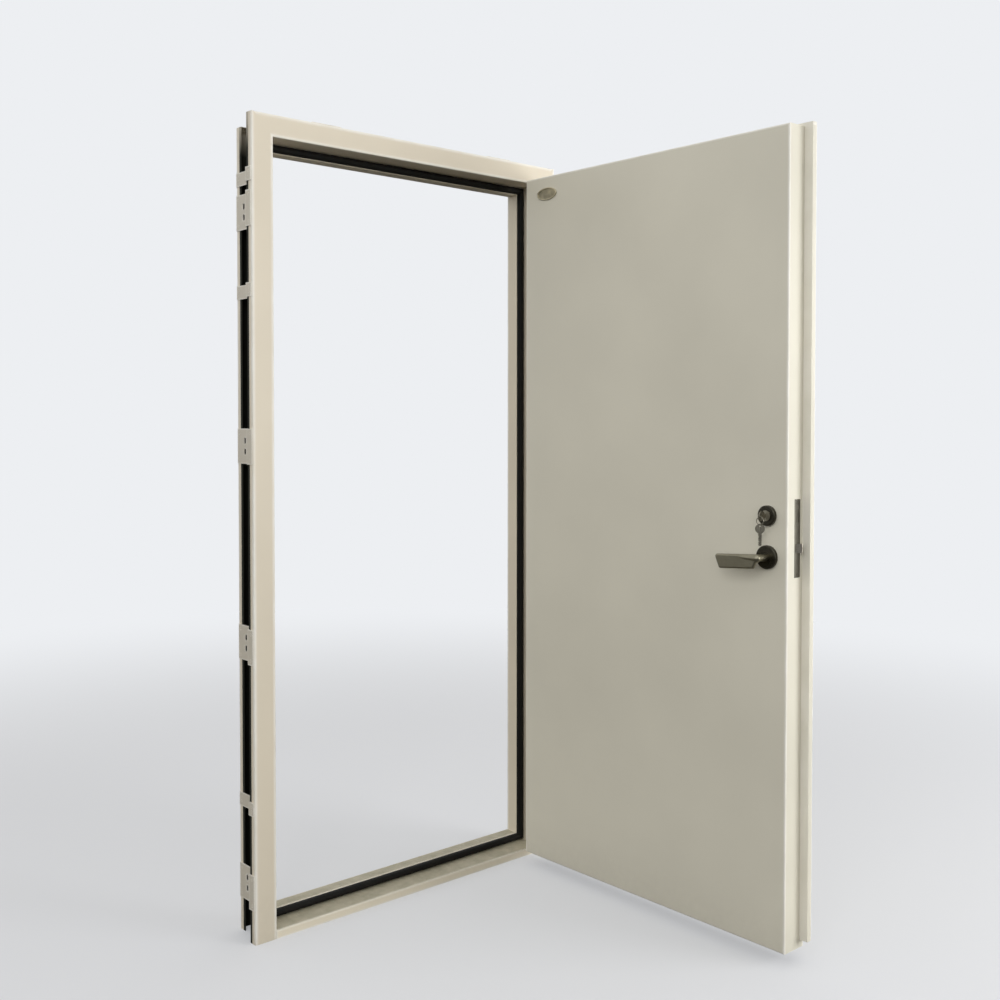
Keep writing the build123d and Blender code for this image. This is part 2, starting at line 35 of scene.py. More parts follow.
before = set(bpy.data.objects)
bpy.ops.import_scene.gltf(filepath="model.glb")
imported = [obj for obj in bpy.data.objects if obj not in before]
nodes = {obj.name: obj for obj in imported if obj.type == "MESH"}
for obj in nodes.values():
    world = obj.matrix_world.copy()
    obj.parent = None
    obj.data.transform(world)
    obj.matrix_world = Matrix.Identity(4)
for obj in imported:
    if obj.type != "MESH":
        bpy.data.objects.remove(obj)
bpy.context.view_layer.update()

# Sides of the pieces that the small parts sit on, read from the model in metres
LEAF_LOW, LEAF_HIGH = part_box("leaf_back_pan")
LIP_LOW, LIP_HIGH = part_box("leaf_front_pan")
FRAME_LOW, FRAME_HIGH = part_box("left_jamb")
HALF_WIDTH = -FRAME_LOW.x
FRAME_FRONT = FRAME_LOW.y
FRAME_TOP = FRAME_HIGH.z
FACEPLATE_LOW, FACEPLATE_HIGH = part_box("lock_faceplate")
STRIKE_LOW, STRIKE_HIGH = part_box("strike_plate")
SEAL_LOW, SEAL_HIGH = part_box("left_seal")
# The two mitres run at 45 degrees to this height at the jambs' outer edge
CORNER_TOP = SEAL_HIGH.z + SEAL_LOW.x + HALF_WIDTH
# The frame's section from its outer front edge: width of the face, reach of the stop, inset of the rear
# return, depth of the rebate and of the whole section
FACE = HALF_WIDTH + STRIKE_HIGH.x
REACH = HALF_WIDTH + FRAME_HIGH.x
SET_IN = HALF_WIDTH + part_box("left_straps")[1].x
REBATE = SEAL_HIGH.y - FRAME_FRONT
DEPTH = FRAME_HIGH.y - FRAME_FRONT
CYLINDER_LOW, CYLINDER_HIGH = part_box("lock_cylinder")


def linear(code):
    """A linear colour from an sRGB hex value."""
    parts = [int(code[i:i + 2], 16) / 255 for i in (1, 3, 5)]
    return tuple(c / 12.92 if c <= 0.04045 else ((c + 0.055) / 1.055) ** 2.4 for c in parts)


def add_node(tree, kind, inputs=(), **settings):
    """Add a node, set its properties, then fill or link its inputs by name or number."""
    item = tree.nodes.new(kind)
    for name, value in settings.items():
        setattr(item, name, value)
    for socket, value in dict(inputs).items():
        if isinstance(value, bpy.types.NodeSocket):
            tree.links.new(value, item.inputs[socket])
        else:
            item.inputs[socket].default_value = value
    return item


def new_material(name):
    """An empty node material, its tree and the output of Object coordinates."""
    material = bpy.data.materials.new(name)
    material.use_nodes = True
    tree = material.node_tree
    tree.nodes.clear()
    place = add_node(tree, "ShaderNodeTexCoord").outputs["Object"]
    return material, tree, place


def close_material(tree, shader):
    """Link the finished shader to the material's output."""
    add_node(tree, "ShaderNodeOutputMaterial", {"Surface": shader.outputs[0]})


def rgba(colour):
    """A colour property with full opacity."""
    return (*colour, 1.0)


def combine(tree, operation, first, second=0.0):
    """One step of arithmetic on two values."""
    return add_node(tree, "ShaderNodeMath", {0: first, 1: second}, operation=operation).outputs[0]


def spread(tree, value, low, high, start, end):
    """Map a value from low..high to start..end, and hold it beyond those ends."""
    ranged = add_node(tree, "ShaderNodeMapRange", {"Value": value, 1: low, 2: high, 3: start, 4: end})
    return ranged.outputs[0]


def vary(tree, pattern, start, end):
    """Map a noise pattern to start..end over the range that noise mostly fills."""
    return spread(tree, pattern, 0.3, 0.7, start, end)


def blend(tree, factor, first, second):
    """A colour between two others, the first one where the factor is 0."""
    mix = add_node(tree, "ShaderNodeMix", {"Factor": factor, 6: first, 7: second}, data_type="RGBA")
    return mix.outputs[2]


def scale_colour(tree, colour, factor):
    """One colour made lighter or darker by a varying factor."""
    scaled = add_node(tree, "ShaderNodeVectorMath", {0: tuple(colour), "Scale": factor}, operation="SCALE")
    return scaled.outputs[0]


def noise(tree, place, size, detail, **more):
    """Noise with spots of about the given size in metres."""
    inputs = {"Vector": place, "Scale": 1 / size, "Detail": detail, **more}
    return add_node(tree, "ShaderNodeTexNoise", inputs).outputs["Fac"]


def relief(tree, pattern, strength, depth, **more):
    """A bump of the given depth in metres from a pattern."""
    inputs = {"Strength": strength, "Distance": depth, "Height": pattern, **more}
    return add_node(tree, "ShaderNodeBump", inputs).outputs[0]


def edge_mask(tree, reach):
    """From 0 on flat surfaces to 1 along edges, over the given reach."""
    rounded = add_node(tree, "ShaderNodeBevel", {"Radius": reach}, samples=6).outputs[0]
    plain = add_node(tree, "ShaderNodeNewGeometry").outputs["Normal"]
    likeness = add_node(tree, "ShaderNodeVectorMath", {0: rounded, 1: plain}, operation="DOT_PRODUCT")
    return spread(tree, likeness.outputs["Value"], 0.995, 0.85, 0.0, 1.0)


def bend_mask(tree, across, along, lines, reach):
    """From 1 on bend lines to 0 at a distance, in the plane of a pressed section."""
    flat = add_node(tree, "ShaderNodeCombineXYZ", {0: across, 1: along}).outputs[0]
    nearest = reach
    for u, v in lines:
        gap = add_node(tree, "ShaderNodeVectorMath", {0: flat, 1: (u, v, 0.0)}, operation="DISTANCE")
        nearest = combine(tree, "MINIMUM", gap.outputs["Value"], nearest)
    return spread(tree, nearest, reach, 0.3 * reach, 0.0, 1.0)


def inside_mask(tree, across, along, boxes):
    """1 inside any of the boxes, in the plane of a pressed section, and 0 outside."""
    found = 0.0
    for low_u, high_u, low_v, high_v in boxes:
        within = 1.0
        for value, low, high in ((across, low_u, high_u), (along, low_v, high_v)):
            middle, half = (low + high) / 2, (high - low) / 2
            near = add_node(tree, "ShaderNodeMath", {0: value, 1: middle, 2: half}, operation="COMPARE")
            within = combine(tree, "MULTIPLY", near.outputs[0], within)
        found = combine(tree, "MAXIMUM", within, found)
    return found


def frame_section(tree, axes, section, colour, gloss):
    """The frame's colour and gloss, with painted shade as dark paint in its open wall side, and its bends."""
    settings = bpy.context.scene.door_finish
    if section == "jamb":
        edge = combine(tree, "ABSOLUTE", axes["X"])
        outer, trim = HALF_WIDTH, 0.0
    else:
        edge = axes["Z"]
        outer, trim = CORNER_TOP, CORNER_TOP - FRAME_TOP
    across = combine(tree, "SUBTRACT", outer, edge)
    along = combine(tree, "SUBTRACT", axes["Y"], FRAME_FRONT)
    # The wall side of the pressed section is a channel painted dark as painted shade, and the painted shade
    # also runs over the inner part of its two lips. In turn: behind the face, behind the stop, the corner
    # between them and the two lips
    skin, unshaded, shade_roughness = 0.001, settings.unshaded_lip_width, 0.85
    pockets = (
        (trim + 4 * skin, FACE - skin, skin, REBATE + skin),
        (SET_IN + 4 * skin, REACH - skin, REBATE + skin, DEPTH - skin),
        (FACE - 1.1 * skin, FACE + 0.1 * skin, REBATE - 0.1 * skin, REBATE + 1.1 * skin),
        (trim - skin, trim + 4 * skin, unshaded, REBATE),
        (SET_IN - skin, SET_IN + 4 * skin, REBATE + skin, DEPTH - unshaded),
    )
    # The painted shade fades over the last 90 mm below the top, as painted light near the channel's open top
    thin = spread(tree, axes["Z"], FRAME_TOP - 0.09, FRAME_TOP - 0.01, 1.0, 0.35)
    # coat here is the channel's painted shade, not a real coat
    coat = combine(tree, "MULTIPLY", inside_mask(tree, across, along, pockets), thin)
    colour = blend(tree, coat, colour, rgba(settings.channel_shade_colour))
    gloss = add_node(tree, "ShaderNodeMix", {"Factor": coat, 2: gloss, 3: shade_roughness}).outputs[0]
    # The painted highlights along the frame's bends reach wider than the leaf's
    lines = ((trim, 0.0), (FACE, 0.0), (REACH, DEPTH), (SET_IN, DEPTH))
    return colour, gloss, bend_mask(tree, across, along, lines, 1.5 * settings.bend_reach)


def leaf_bends(tree, axes):
    """Painted highlights along the leaf's bends, and painted light over the inner face of its lip, which
    shuts over the frame.
    """
    reach = bpy.context.scene.door_finish.bend_reach
    sides = (LEAF_LOW.x, LIP_HIGH.x)
    upright = [(x, y) for x in sides for y in (LEAF_LOW.y, LEAF_HIGH.y, LIP_LOW.y)]
    level = [(x, z) for x in sides for z in (LEAF_HIGH.z, LIP_HIGH.z)]
    skin, paleness = 0.0005, 0.7
    lip_side = (LEAF_LOW.x, LIP_HIGH.x - skin, LIP_LOW.y, LEAF_LOW.y - skin)
    lip_top = (LEAF_LOW.x, LIP_HIGH.x - skin, LEAF_HIGH.z + skin, LIP_HIGH.z)
    found = 0.0
    for along, lines, lip in ((axes["Y"], upright, lip_side), (axes["Z"], level, lip_top)):
        bends = bend_mask(tree, axes["X"], along, lines, reach)
        lip_painted_light = combine(tree, "MULTIPLY", inside_mask(tree, axes["X"], along, [lip]), paleness)
        found = combine(tree, "MAXIMUM", combine(tree, "MAXIMUM", bends, lip_painted_light), found)
    return found


def baked_enamel(name, paint, section=None, wave=0.0002):
    """Oven-baked enamel on pressed steel: satin cream, faint orange peel, slow waves of the sheet, painted
    highlights along the bends with some rubbed wear, and dust at the foot.

    section is "jamb" or "head" for the frame, whose open wall side has painted shade as dark paint, or
    "leaf"."""
    settings = bpy.context.scene.door_finish
    material, tree, place = new_material(name)
    axes = add_node(tree, "ShaderNodeSeparateXYZ", {0: place}).outputs
    # Slow drift of tone over about 0.4 m, from the way the coat was sprayed
    shade = scale_colour(tree, paint, vary(tree, noise(tree, place, 0.4, 3.0), 0.955, 1.03))
    # Dust and scuffs over the lowest 150 mm
    height = spread(tree, axes["Z"], 0.0, 0.15, 0.2, 0.0)
    dusty = combine(tree, "MULTIPLY", height, noise(tree, place, 0.018, 6.0))
    colour = blend(tree, dusty, shade, rgba(settings.dust_colour))
    # Finger smears, about 60 mm across, show as changes of gloss
    middle = settings.enamel_roughness
    gloss = vary(tree, noise(tree, place, 0.06, 4.0), middle - 0.03, middle + 0.05)
    if section in ("jamb", "head"):
        colour, gloss, bends = frame_section(tree, axes, section, colour, gloss)
    elif section == "leaf":
        bends = leaf_bends(tree, axes)
    else:
        # Painted highlight along the edges of small parts, partly rubbed wear
        bends = edge_mask(tree, settings.bend_reach)
    # Painted highlight along the bends, partly rubbed wear: the coat is paler there, more in some places than
    # in others
    patchy = spread(tree, noise(tree, place, 0.09, 5.0), 0.35, 0.65, 0.55, 1.0)
    colour = blend(tree, combine(tree, "MULTIPLY", bends, patchy), colour, rgba(settings.highlight_and_wear_colour))
    # Orange peel is about 2 mm across on the real coat, drawn at 7 mm so that it shows
    peel = relief(tree, noise(tree, place, 0.007, 2.0), 0.12, 0.0002)
    waves = relief(tree, noise(tree, place, 0.28, 1.0), 0.5, wave, Normal=peel)
    shader = add_node(
        tree, "ShaderNodeBsdfPrincipled",
        {"Base Color": colour, "Roughness": gloss, "IOR": 1.5, "Specular IOR Level": 0.35, "Normal": waves},
    )
    close_material(tree, shader)
    return material


def walked_enamel(name, paint):
    """Enamel of the sill: its treads darkened by painted shade on the up-facing faces and by shoe marks, and
    dulled, with scratches along the way through the door; the upright front is paler, as painted light."""
    settings = bpy.context.scene.door_finish
    material, tree, place = new_material(name)
    facing = add_node(tree, "ShaderNodeNewGeometry").outputs["Normal"]
    upward = add_node(tree, "ShaderNodeSeparateXYZ", {0: facing}).outputs["Z"]
    tread = spread(tree, upward, 0.3, 0.9, 0.0, 1.0)
    # Shoe marks about 35 mm across
    grime = vary(tree, noise(tree, place, 0.035, 7.0, Roughness=0.6), 0.68, 0.95)
    # The up-facing treads are darker: painted shade, broken up by shoe marks
    amount = combine(tree, "MULTIPLY", tread, grime)
    colour = blend(tree, amount, rgba(paint), rgba(settings.tread_shade_and_grime_colour))
    # Scratches across the sill, 1.5 mm apart
    drawn = add_node(tree, "ShaderNodeMapping", {"Vector": place, "Scale": (1.0, 0.06, 1.0)}).outputs[0]
    lines = noise(tree, drawn, 0.0015, 2.0)
    scratch = combine(tree, "MULTIPLY", spread(tree, lines, 0.62, 0.75, 0.0, 0.35), tread)
    # Painted highlight along the sill's edges, with the scratches
    highlight_and_scratches = combine(tree, "MAXIMUM", edge_mask(tree, settings.bend_reach), scratch)
    colour = blend(tree, highlight_and_scratches, colour, rgba(settings.highlight_and_wear_colour))
    gloss = spread(tree, amount, 0.0, 1.0, 0.4, 0.65)
    worn = relief(tree, lines, 0.2, 0.0002)
    shader = add_node(
        tree, "ShaderNodeBsdfPrincipled",
        {"Base Color": colour, "Roughness": gloss, "IOR": 1.5, "Specular IOR Level": 0.35, "Normal": worn},
    )
    close_material(tree, shader)
    return material


def extruded_rubber(name):
    """Black EPDM bulb seal: extruded, matt, with a fine skin and a bloom of pale dust."""
    settings = bpy.context.scene.door_finish
    material, tree, place = new_material(name)
    bloom = noise(tree, place, 0.05, 5.0)
    dust = spread(tree, bloom, 0.5, 0.85, 0.0, 0.05)
    colour = blend(tree, dust, rgba(settings.rubber_colour), rgba(settings.dust_colour))
    skin = relief(tree, noise(tree, place, 0.002, 2.0), 0.2, 0.0002)
    gloss = vary(tree, bloom, 0.62, 0.8)
    shader = add_node(
        tree, "ShaderNodeBsdfPrincipled",
        {"Base Color": colour, "Roughness": gloss, "IOR": 1.52, "Specular IOR Level": 0.2, "Normal": skin},
    )
    close_material(tree, shader)
    return material


def satin_metal(name, colour, roughness, brush=(1.0, 1.0, 0.05), stain=0.15):
    """Brushed and plated metal: fine lines along one way, softly varied gloss and a little tarnish.

    brush squeezes the pattern along each axis, so that its small number gives the way of the lines."""
    material, tree, place = new_material(name)
    stretched = add_node(tree, "ShaderNodeMapping", {"Vector": place, "Scale": brush}).outputs[0]
    # Brush lines are under 0.1 mm apart on the real plate, drawn at 1.2 mm so that they show
    lines = noise(tree, stretched, 0.0012, 3.0)
    # Tarnish in spots about 15 mm across
    shade = scale_colour(tree, colour, vary(tree, noise(tree, place, 0.015, 4.0), 1.0 - stain, 1.0))
    gloss = vary(tree, lines, roughness - 0.06, roughness + 0.08)
    brushed = relief(tree, lines, 0.15, 0.0001)
    shader = add_node(
        tree, "ShaderNodeBsdfPrincipled",
        {"Base Color": shade, "Metallic": 1.0, "Roughness": gloss, "Normal": brushed},
    )
    close_material(tree, shader)
    return material


def mineral_wool(name):
    """Pressed mineral wool slab: matt ochre fibres."""
    material, tree, place = new_material(name)
    fibres = noise(tree, place, 0.004, 6.0)
    shade = blend(tree, fibres, rgba(linear("#6E6243")), rgba(linear("#A8976A")))
    nap = relief(tree, fibres, 0.6, 0.001)
    shader = add_node(
        tree, "ShaderNodeBsdfPrincipled", {"Base Color": shade, "Roughness": 0.95, "Normal": nap}
    )
    close_material(tree, shader)
    return material


def dress(names, material):
    """Give CAD nodes one material."""
    for name in names:
        mesh = nodes[name].data
        mesh.materials.clear()
        mesh.materials.append(material)
        for polygon in mesh.polygons:
            polygon.material_index = 0


def settle(mesh, name, body):
    """Link a finished mesh as a piece that rides on a body and takes a finish from a slot."""
    piece = bpy.data.objects.new(name, mesh)
    bpy.context.scene.collection.objects.link(piece)
    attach(piece, body)
    return piece


def instancer(name, build_head):
    """A node tree that sets one head on every point of a mesh, turned to the point's facing attribute."""
    tree = bpy.data.node_groups.new(name, "GeometryNodeTree")
    tree.interface.new_socket("Geometry", in_out="INPUT", socket_type="NodeSocketGeometry")
    for label, default in (("Head Radius", 0.004), ("Head Height", 0.001)):
        socket = tree.interface.new_socket(label, in_out="INPUT", socket_type="NodeSocketFloat")
        socket.default_value = default
    tree.interface.new_socket("Material", in_out="INPUT", socket_type="NodeSocketMaterial")
    tree.interface.new_socket("Geometry", in_out="OUTPUT", socket_type="NodeSocketGeometry")
    given = add_node(tree, "NodeGroupInput")
    head = build_head(tree, given.outputs["Head Radius"], given.outputs["Head Height"])
    facing = add_node(tree, "GeometryNodeInputNamedAttribute", {"Name": "facing"}, data_type="FLOAT_VECTOR")
    way = facing.outputs["Attribute"]
    turn = add_node(tree, "FunctionNodeAlignRotationToVector", {"Vector": way}, axis="Z")
    # Each head is left at a chance angle round its own axis
    chance = add_node(tree, "FunctionNodeRandomValue", {2: 0.0, 3: math.pi, "Seed": 7}, data_type="FLOAT")
    angle = chance.outputs[1]
    spin = add_node(tree, "FunctionNodeAxisAngleToRotation", {"Axis": (0, 0, 1), "Angle": angle})
    placed = add_node(
        tree, "FunctionNodeRotateRotation", {0: turn.outputs[0], 1: spin.outputs[0]}, rotation_space="LOCAL"
    )
    copies = add_node(
        tree, "GeometryNodeInstanceOnPoints",
        {"Points": given.outputs["Geometry"], "Instance": head, "Rotation": placed.outputs[0]},
    )
    solid = add_node(tree, "GeometryNodeRealizeInstances", {0: copies.outputs[0]})
    coated = add_node(
        tree, "GeometryNodeSetMaterial",
        {"Geometry": solid.outputs[0], "Material": given.outputs["Material"]},
    )
    add_node(tree, "NodeGroupOutput", {0: coated.outputs[0]})
    return tree


def cross_screw_head(tree, radius, height):
    """A raised countersunk head with a cross recess."""
    top = combine(tree, "MULTIPLY", radius, 0.72)
    cone = add_node(
        tree, "GeometryNodeMeshCone",
        {"Vertices": 28, "Radius Bottom": radius, "Depth": height, "Radius Top": top},
    )
    arm = combine(tree, "MULTIPLY", radius, 1.1)
    width = combine(tree, "MULTIPLY", radius, 0.26)
    tall = combine(tree, "MULTIPLY", height, 1.3)
    tools = []
    for x, y in ((arm, width), (width, arm)):
        size = add_node(tree, "ShaderNodeCombineXYZ", {0: x, 1: y, 2: tall}).outputs[0]
        tools.append(add_node(tree, "GeometryNodeMeshCube", {"Size": size}).outputs["Mesh"])
    lift = add_node(tree, "ShaderNodeCombineXYZ", {2: height}).outputs[0]
    cross = add_node(tree, "GeometryNodeMeshBoolean", operation="UNION", solver="EXACT")
    for tool in tools:
        tree.links.new(tool, cross.inputs["Mesh 2"])
    raised = add_node(
        tree, "GeometryNodeTransform", {"Geometry": cross.outputs["Mesh"], "Translation": lift}
    )
    cut = add_node(
        tree, "GeometryNodeMeshBoolean", {"Mesh 1": cone.outputs["Mesh"], "Mesh 2": raised.outputs[0]},
        operation="DIFFERENCE", solver="EXACT",
    )
    return cut.outputs["Mesh"]


def weld_spot(tree, radius, height):
    """The raised rim that a spot-welding tip leaves round its mark."""
    ring, wire = (
        add_node(
            tree, "GeometryNodeCurvePrimitiveCircle", {"Resolution": count, "Radius": size}, mode="RADIUS"
        ).outputs["Curve"]
        for count, size in ((24, radius), (8, height))
    )
    rim = add_node(tree, "GeometryNodeCurveToMesh", {"Curve": ring, "Profile Curve": wire})
    return rim.outputs["Mesh"]


def set_on_points(tree, places, name, body, material, radius, height):
    """Run an instancer over places, each a point and the way it faces, and keep the result as one piece."""
    points = bpy.data.meshes.new(name + "_points")
    points.from_pydata([tuple(point) for point, way in places], [], [])
    facing = points.attributes.new("facing", "FLOAT_VECTOR", "POINT")
    facing.data.foreach_set("vector", [c for point, way in places for c in way])
    holder = bpy.data.objects.new(name + "_points", points)
    bpy.context.scene.collection.objects.link(holder)
    modifier = holder.modifiers.new("Set on points", "NODES")
    modifier.node_group = tree
    for label, value in (("Head Radius", radius), ("Head Height", height), ("Material", material)):
        modifier[tree.interface.items_tree[label].identifier] = value
    graph = bpy.context.evaluated_depsgraph_get()
    mesh = bpy.data.meshes.new_from_object(holder.evaluated_get(graph), depsgraph=graph)
    bpy.data.objects.remove(holder)
    mesh.name = name
    return settle(mesh, name, body)


def flat_plate(name, outlines, thickness, bevel, placing):
    """A thin bevelled plate from closed outlines in its own plane, holes among them, set in its place."""
    curve = bpy.data.curves.new(name, "CURVE")
    curve.dimensions = "2D"
    curve.fill_mode = "BOTH"
    curve.extrude = thickness / 2 - bevel
    curve.bevel_depth = bevel
    curve.bevel_resolution = 2
    curve.offset = -bevel
    for outline in outlines:
        spline = curve.splines.new("POLY")
        spline.points.add(len(outline) - 1)
        for point, (x, y) in zip(spline.points, outline):
            point.co = (x, y, 0.0, 1.0)
        spline.use_cyclic_u = True
    drawn = bpy.data.objects.new(name, curve)
    bpy.context.scene.collection.objects.link(drawn)
    graph = bpy.context.evaluated_depsgraph_get()
    mesh = bpy.data.meshes.new_from_object(drawn.evaluated_get(graph), depsgraph=graph)
    bpy.data.objects.remove(drawn)
    mesh.transform(placing)
    return mesh


def ellipse(half_x, half_y, count=64):
    """Points round an ellipse."""
    angles = [2 * math.pi * i / count for i in range(count)]
    return [(half_x * math.cos(angle), half_y * math.sin(angle)) for angle in angles]


class DoorFinish(bpy.types.PropertyGroup):
    """Colours and gloss of the door's finishes."""

    frame_colour: bpy.props.FloatVectorProperty(
        name="Frame Enamel", description="Cream enamel of the pressed frame", subtype="COLOR", size=3,
        min=0, max=1, default=linear("#E7DDC9"),
    )
    # Paler than the frame's enamel as painted light on the sill's front, which lies in the leaf's shadow
    sill_painted_light_colour: bpy.props.FloatVectorProperty(
        name="Sill Enamel", description="Paler enamel of the sill's upright front", subtype="COLOR", size=3,
        min=0, max=1, default=linear("#F4EBD6"),
    )
    leaf_colour: bpy.props.FloatVectorProperty(
        name="Leaf Enamel", description="Cream enamel of the leaf's two pans", subtype="COLOR", size=3,
        min=0, max=1, default=linear("#E4E0D0"),
    )
    # Painted highlight along bends and edges, together with the pale of rubbed wear and scratches
    highlight_and_wear_colour: bpy.props.FloatVectorProperty(
        name="Highlight and Wear Enamel", description="Paler enamel along bends and edges", subtype="COLOR", size=3,
        min=0, max=1, default=linear("#FBF8F0"),
    )
    enamel_roughness: bpy.props.FloatProperty(
        name="Enamel Roughness", description="Middle of the enamel's roughness", subtype="FACTOR",
        min=0.1, max=0.9, default=0.4,
    )
    # How far the painted highlight along a bend reaches
    bend_reach: bpy.props.FloatProperty(
        name="Pale Bends", description="How far the rubbed coat reaches from a bend", subtype="DISTANCE",
        unit="LENGTH", min=0.001, max=0.02, default=0.0065,
    )
    # Dark paint that stands for the shade inside the frame's open side: painted shade
    channel_shade_colour: bpy.props.FloatVectorProperty(
        name="Channel Shade", description="Dark coat inside the open side of the frame", subtype="COLOR",
        size=3, min=0, max=1, default=linear("#23241C"),
    )
    # Outer part of the lips left free of the painted shade
    unshaded_lip_width: bpy.props.FloatProperty(
        name="Unshaded Lip", description="Width of the open side's lips that the damping coat leaves bare",
        subtype="DISTANCE", unit="LENGTH", min=0.002, max=0.025, default=0.016,
    )
    strap_colour: bpy.props.FloatVectorProperty(
        name="Strap Enamel", description="Thin coat on the straps and anchor plates", subtype="COLOR", size=3,
        min=0, max=1, default=linear("#D6CFC0"),
    )
    dust_colour: bpy.props.FloatVectorProperty(
        name="Dust", description="Dust and scuffs near the floor", subtype="COLOR", size=3,
        min=0, max=1, default=linear("#8C8576"),
    )
    # Darker colour of the up-facing treads: painted shade together with shoe grime
    tread_shade_and_grime_colour: bpy.props.FloatVectorProperty(
        name="Shaded Worn Tread", description="Greyed enamel on the sill's treads", subtype="COLOR", size=3,
        min=0, max=1, default=linear("#9E9983"),
    )
    rubber_colour: bpy.props.FloatVectorProperty(
        name="Seal Rubber", description="Black rubber of the bulb seals", subtype="COLOR", size=3,
        min=0, max=1, default=linear("#0D0C09"),
    )
    nickel_colour: bpy.props.FloatVectorProperty(
        name="Dark Nickel", description="Dark satin nickel of the levers", subtype="COLOR", size=3,
        min=0, max=1, default=linear("#98937F"),
    )
    rose_colour: bpy.props.FloatVectorProperty(
        name="Dark Rose", description="Darker nickel of the round roses", subtype="COLOR", size=3,
        min=0, max=1, default=linear("#4F4C42"),
    )
    steel_colour: bpy.props.FloatVectorProperty(
        name="Lock Steel", description="Satin steel of the lock's faceplate, dead bolt and strike",
        subtype="COLOR", size=3, min=0, max=1, default=linear("#6A675E"),
    )
    key_colour: bpy.props.FloatVectorProperty(
        name="Key Metal", description="Nickel silver of the keys and their ring", subtype="COLOR", size=3,
        min=0, max=1, default=linear("#9C9788"),
    )


class DoorDetail(bpy.types.PropertyGroup):
    """Sizes of the small parts."""

    screw_radius: bpy.props.FloatProperty(
        name="Screw Head Radius", description="Radius of a countersunk screw's head", subtype="DISTANCE",
        unit="LENGTH", min=0.001, max=0.01, default=0.004,
    )
    screw_height: bpy.props.FloatProperty(
        name="Screw Head Height", description="How far a screw's head stands proud", subtype="DISTANCE",
        unit="LENGTH", min=0.0002, max=0.005, default=0.0009,
    )
    weld_radius: bpy.props.FloatProperty(
        name="Weld Spot Radius", description="Radius of a spot weld's rim", subtype="DISTANCE", unit="LENGTH",
        min=0.001, max=0.01, default=0.0035,
    )
    weld_height: bpy.props.FloatProperty(
        name="Weld Rim", description="Wire radius of a spot weld's rim", subtype="DISTANCE", unit="LENGTH",
        min=0.0001, max=0.002, default=0.0004,
    )
    plate_width: bpy.props.FloatProperty(
        name="Blank Plate Width", description="Width of the oval blank plate on the leaf", subtype="DISTANCE",
        unit="LENGTH", min=0.02, max=0.2, default=0.078,
    )
    plate_height: bpy.props.FloatProperty(
        name="Blank Plate Height", description="Height of the oval blank plate on the leaf",
        subtype="DISTANCE", unit="LENGTH", min=0.01, max=0.1, default=0.036,
    )
    plate_rim: bpy.props.FloatProperty(
        name="Blank Plate Rim", description="Width of the raised rim round the blank plate",
        subtype="DISTANCE", unit="LENGTH", min=0.0005, max=0.01, default=0.0038,
    )
    plate_inset: bpy.props.FloatProperty(
        name="Blank Plate Inset", description="From the leaf's hinge edge to the plate's middle",
        subtype="DISTANCE", unit="LENGTH", min=0.03, max=0.4, default=0.088,
    )
    plate_drop: bpy.props.FloatProperty(
        name="Blank Plate Drop", description="From the leaf's top to the plate's middle", subtype="DISTANCE",
        unit="LENGTH", min=0.02, max=0.4, default=0.051,
    )


class DoorStage(bpy.types.PropertyGroup):
    """The studio: floor, light and camera."""

    floor_colour: bpy.props.FloatVectorProperty(
        name="Backdrop", description="Pale colour of the floor and the background", subtype="COLOR", size=3,
        min=0, max=1, default=linear("#EDEFF2"),
    )
    sky_strength: bpy.props.FloatProperty(
        name="Sky Light", description="Soft light from all round, strongest from the sides", min=0, max=4,
        default=1.08,
    )
    key_power: bpy.props.FloatProperty(
        name="Key Light", description="Large soft lamp at the front on the right",
        subtype="POWER", unit="POWER", min=0, max=2000, default=82.0,
    )
    fill_power: bpy.props.FloatProperty(
        name="Fill Light", description="Small soft lamp high on the left", subtype="POWER", unit="POWER",
        min=0, max=2000, default=14.0,
    )
    lens: bpy.props.FloatProperty(
        name="Lens", description="Focal length on a 36 mm sensor", unit="CAMERA", min=10, max=200,
        default=42.41,
    )
    camera_place: bpy.props.FloatVectorProperty(
        name="Camera", description="Where the camera stands", subtype="TRANSLATION", unit="LENGTH", size=3,
        default=(-2.0241, -2.6530, 1.3272),
    )
    camera_yaw: bpy.props.FloatProperty(
        name="Camera Turn", description="How far the camera looks to the right of straight on",
        subtype="ANGLE", unit="ROTATION", default=math.radians(41.243),
    )
    camera_pitch: bpy.props.FloatProperty(
        name="Camera Tilt", description="How far the camera looks up", subtype="ANGLE", unit="ROTATION",
        default=math.radians(-1.556),
    )


class DOOR_OT_frame(bpy.types.Operator):
    """Enamel the pressed frame, with painted shade in its open side"""

    bl_idname = "door.frame"
    bl_label = "Frame"

    def execute(self, context):
        finish = context.scene.door_finish
        jamb_paint = baked_enamel("baked_enamel_jambs", finish.frame_colour, "jamb")
        dress(["left_jamb", "right_jamb"], jamb_paint)
        dress(["head"], baked_enamel("baked_enamel_head", finish.frame_colour, "head"))
        dress(["sill"], walked_enamel("walked_enamel_sill", finish.sill_painted_light_colour))
        return {"FINISHED"}


